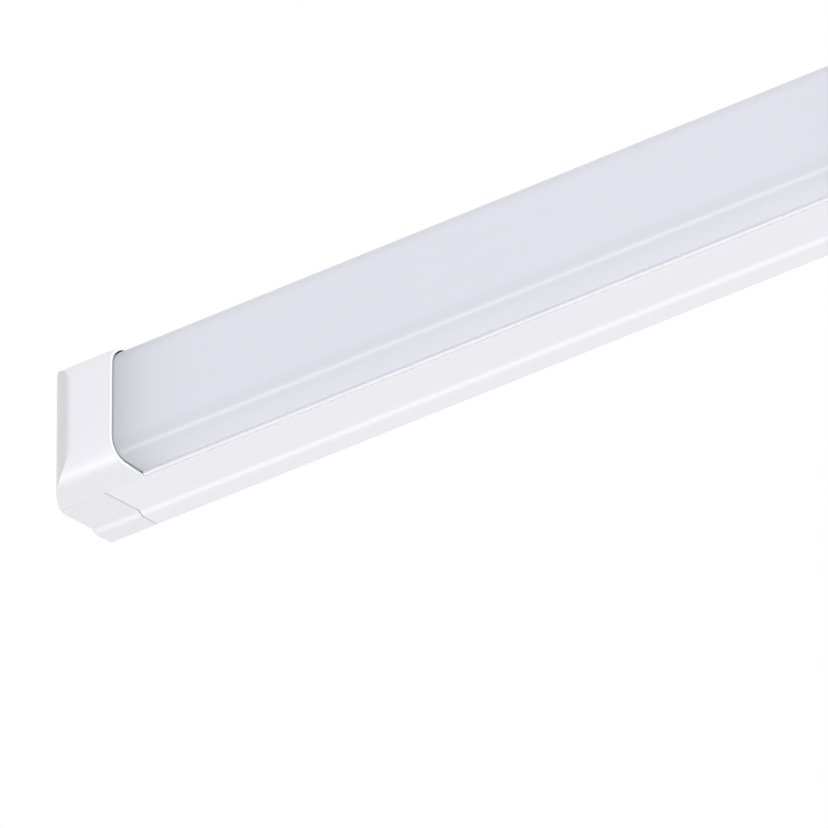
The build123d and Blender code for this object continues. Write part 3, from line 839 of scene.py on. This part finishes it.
def makeWorld():  # white to the camera and in reflections, a soft pale sky as light
    world = bpy.data.worlds.new("studio")
    bpy.context.scene.world = world
    world.use_nodes = True
    sky = Recipe(world.node_tree)
    direction = sky.node("ShaderNodeTexCoord", output="Generated")
    sockets = {0: direction, 1: stage["skyLean"]}
    lean = sky.node("ShaderNodeVectorMath", {"operation": "DOT_PRODUCT"}, sockets, "Value")
    soft = {"Color": stage["skyColour"], "Strength": (1.0 + lean) * stage["skyStrength"]}
    light = sky.node("ShaderNodeBackground", sockets=soft)
    white = sky.node("ShaderNodeBackground", sockets={"Color": (1.0, 1.0, 1.0, 1.0)})
    seen = sky.node("ShaderNodeLightPath", output="Is Camera Ray")
    for ray in ("Is Glossy Ray", "Is Transmission Ray"):
        seen = seen.maths("MAXIMUM", sky.node("ShaderNodeLightPath", output=ray))
    mixed = sky.node("ShaderNodeMixShader", sockets={0: seen, 1: light, 2: white})
    sky.plug(sky.tree.nodes["World Output"].inputs["Surface"], mixed)


lamps = {  # matt: whether a lamp lights matt surfaces too, or only shines in gloss
    "glossLamp": {
        "towards": (-0.588, 0.771, -0.245),
        "distance": 8.0,
        "size": 2.5,
        "power": 285.0,
        "matt": False,
    },
    "frontLamp": {
        "towards": (0.88, -0.1, -0.46),
        "distance": 24.0,
        "size": 10.0,
        "power": 5150.0,
        "matt": True,
    },
    "fillLamp": {
        "towards": (0.3, -0.1, -0.95),
        "distance": 24.0,
        "size": 10.0,
        "power": 2500.0,
        "matt": True,
    },
    "sideLamp": {
        "towards": (0.3, 0.95, 0.0),
        "distance": 8.0,
        "size": 5.3,
        "power": 243.0,
        "matt": True,
    },
    "endLamp": {
        "towards": (-1.0, 0.0, -0.1),
        "distance": 8.0,
        "size": 4.0,
        "power": 175.0,
        "matt": True,
    },
}
rightEnd = {  # the front lamp would bleach the end that faces it, so that end has a lamp of its own
    "bodies": ("right_cap", "gland_clamp", "gland_nut"),
    "lamps": {"frontLamp": "EXCLUDE", "fillLamp": "INCLUDE"},
}


def rightEndPieces(state):
    pieces = bpy.data.collections.new("rightEnd" + state.title())
    for body in rightEnd["bodies"]:
        for piece in frame["bodies"][body].children:
            pieces.objects.link(piece)
    for entry in pieces.collection_objects:
        entry.light_linking.link_state = state
    return pieces


def makeLamps():
    middle = (cadLow + cadHigh) / 2
    for name, lamp in lamps.items():
        light = bpy.data.lights.new(name, "AREA")
        light.shape = "DISK"
        light.size = lamp["size"]
        light.energy = lamp["power"]
        holder = bpy.data.objects.new(name, light)
        away = Vector(lamp["towards"]).normalized()
        holder.location = middle + away * lamp["distance"]
        holder.rotation_euler = away.to_track_quat("Z", "Y").to_euler()
        holder.visible_diffuse = lamp["matt"]
        bpy.context.scene.collection.objects.link(holder)
        if name in rightEnd["lamps"]:
            holder.light_linking.receiver_collection = rightEndPieces(rightEnd["lamps"][name])


photo = {
    "width": 828,  # pixels
    "pixel": 0.000502,  # metres across one pixel at the fixture
    "towards": (0.588, 0.458, -0.667),  # from the fixture to the camera
    "up": (0.3015, -0.8889, -0.3451),
    "anchorPixel": (112.0, 396.7),  # a point on the inner edge of the left hood
    "anchorAcross": -0.0016,
    "hoodWall": 0.0014,
    "lens": 1600.0,
    "sensor": 36.0,
}


def makeCamera():
    capLow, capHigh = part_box("left_end_cap")
    anchor = Vector((capHigh.x, photo["anchorAcross"], capLow.z + photo["hoodWall"]))
    back = Vector(photo["towards"]).normalized()
    right = Vector(photo["up"]).cross(back).normalized()
    up = back.cross(right)
    half = photo["width"] / 2
    column, row = photo["anchorPixel"]
    centre = anchor + right * (half - column) * photo["pixel"] + up * (row - half) * photo["pixel"]
    data = bpy.data.cameras.new("camera")
    data.sensor_width = photo["sensor"]
    data.lens = photo["lens"]
    distance = photo["width"] * photo["pixel"] * data.lens / data.sensor_width
    data.clip_end = 2 * distance
    camera = bpy.data.objects.new("camera", data)
    turn = Matrix((right, up, back)).transposed().to_4x4()
    camera.matrix_world = Matrix.Translation(centre + back * distance) @ turn
    bpy.context.scene.collection.objects.link(camera)
    bpy.context.scene.camera = camera


makeFloor()
makeWorld()
makeLamps()
makeCamera()
bpy.context.scene.view_settings.view_transform = "Standard"
print("stage ready")

bpy.context.view_layer.update()
